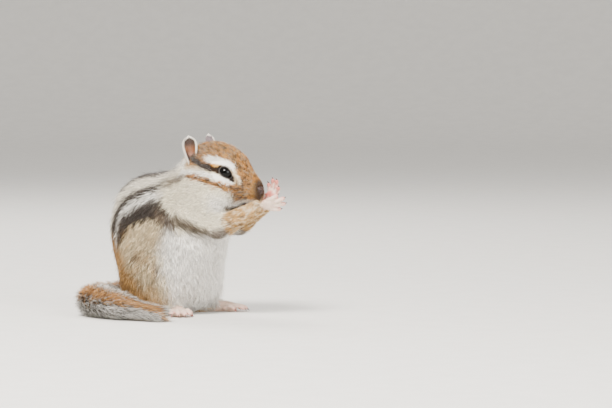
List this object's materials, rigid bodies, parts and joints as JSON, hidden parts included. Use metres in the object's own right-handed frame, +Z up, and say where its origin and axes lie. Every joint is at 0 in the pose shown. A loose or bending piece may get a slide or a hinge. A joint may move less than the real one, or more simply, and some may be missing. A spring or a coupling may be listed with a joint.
{
  "type": "chipmunk model",
  "caption": "Life-size still model of a striped chipmunk sitting upright on its haunches with both forepaws raised to its nose and the bushy tail curled on the floor.",
  "frame": {"origin": "on the floor, under the middle of the model's bounding box", "axes": "+X the way the body faces, +Y to the animal's left, +Z up"},
  "size_m": [0.1146, 0.0948, 0.1006],
  "materials": {
    "coat": "matt fur",
    "paw_skin": "satin",
    "ear_skin": "matt",
    "nose_skin": "satin",
    "eye": "gloss"
  },
  "bodies": {
    "root": {"torso": "coat", "neck": "coat", "head": "coat", "thigh_right": "coat", "thigh_left": "coat", "upper_arm_right": "coat", "upper_arm_left": "coat", "forearm_right": "coat", "forearm_left": "coat", "tail_base": "coat", "tail_middle": "coat", "tail_tip": "coat", "hand_right": "paw_skin", "hand_left": "paw_skin", "foot_right": "paw_skin", "foot_left": "paw_skin", "ear_right": "ear_skin", "ear_left": "ear_skin", "nose": "nose_skin", "eye_right": "eye", "eye_left": "eye"}
  },
  "joints": []
}
